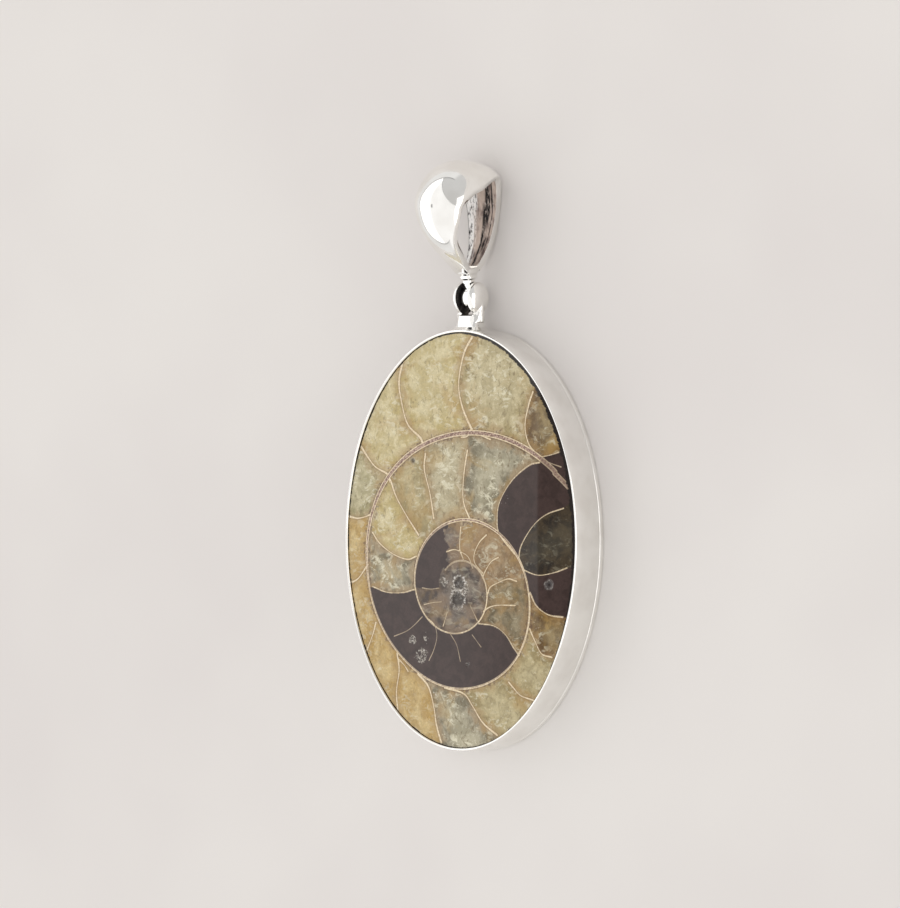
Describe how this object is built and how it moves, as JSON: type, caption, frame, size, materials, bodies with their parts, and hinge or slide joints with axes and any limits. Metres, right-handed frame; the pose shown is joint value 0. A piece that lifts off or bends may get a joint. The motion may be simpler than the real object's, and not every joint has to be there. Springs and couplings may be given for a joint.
{
  "type": "fossil ammonite pendant",
  "caption": "Oval polished slice of fossil ammonite in a plain bezel, with a puffed teardrop bail that swings on a hinge for a necklace chain.",
  "frame": {"origin": "on the surface the pendant lies on, under the middle of its footprint", "axes": "+Z out of the polished face, +Y from the setting towards the bail, +X along the hinge pin, to the right as the face is seen"},
  "size_m": [0.0282, 0.0564, 0.0089],
  "materials": {
    "stone": "polished calcite, sediment and septa in an ammonite slice",
    "bezel_silver": "polished silver",
    "plate_silver": "polished silver, lightly scratched",
    "fork_silver": "polished silver",
    "pin_silver": "polished silver",
    "bail_silver": "polished silver, darkened and streaky inside the loop"
  },
  "bodies": {
    "setting": {"ammonite": "stone", "bezel": "bezel_silver", "back_plate": "plate_silver", "hinge_fork": "fork_silver", "hinge_pin": "pin_silver"},
    "bail": {"bail": "bail_silver"}
  },
  "joints": [
    {"name": "bail_swing", "type": "hinge", "parent": "setting", "child": "bail", "pos_m": [0, 0.01506, 0.0024], "axis": [1, 0, 0], "range_deg": [-114, 98]}
  ]
}
